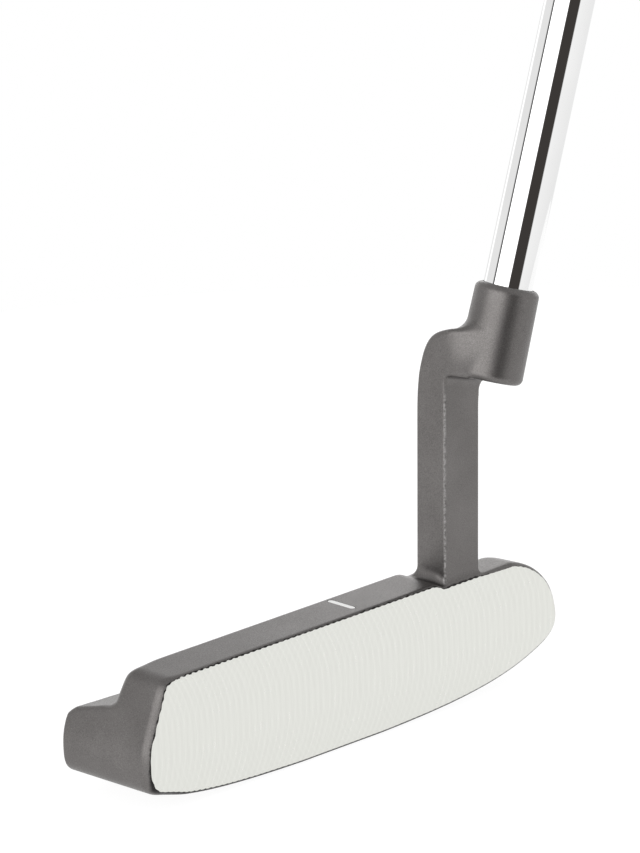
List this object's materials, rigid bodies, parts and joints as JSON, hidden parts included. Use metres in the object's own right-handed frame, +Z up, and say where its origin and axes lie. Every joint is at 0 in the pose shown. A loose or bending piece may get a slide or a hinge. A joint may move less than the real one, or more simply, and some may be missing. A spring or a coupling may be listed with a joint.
{
  "type": "blade putter",
  "caption": "Right-handed blade putter: heel-and-toe weighted head with milled face and plumber's neck, stepped chrome steel shaft, flat-fronted rubber grip.",
  "frame": {"origin": "on the flat of the sole, under the sight line, 12 mm behind the foot of the face", "axes": "+X from toe to heel, -Y out of the face towards the target, +Z up with the sole flat on the ground"},
  "size_m": [0.361, 0.0406, 0.848],
  "materials": {
    "satin_casting": "cast steel with a dark satin coat, and a bare fly-cut face",
    "white_paint": "satin enamel in a groove",
    "epoxy": "cured epoxy",
    "chrome_plate": "mirror chrome over steel tube",
    "paper_tape": "double-sided crepe paper tape",
    "grip_rubber": "moulded matt rubber",
    "cap_rubber": "hard moulded rubber"
  },
  "bodies": {
    "root": {"head": "satin_casting", "sight_line_fill": "white_paint", "shaft_bond": "epoxy", "shaft": "chrome_plate", "grip_tape": "paper_tape", "grip": "grip_rubber", "grip_cap": "cap_rubber"}
  },
  "joints": []
}
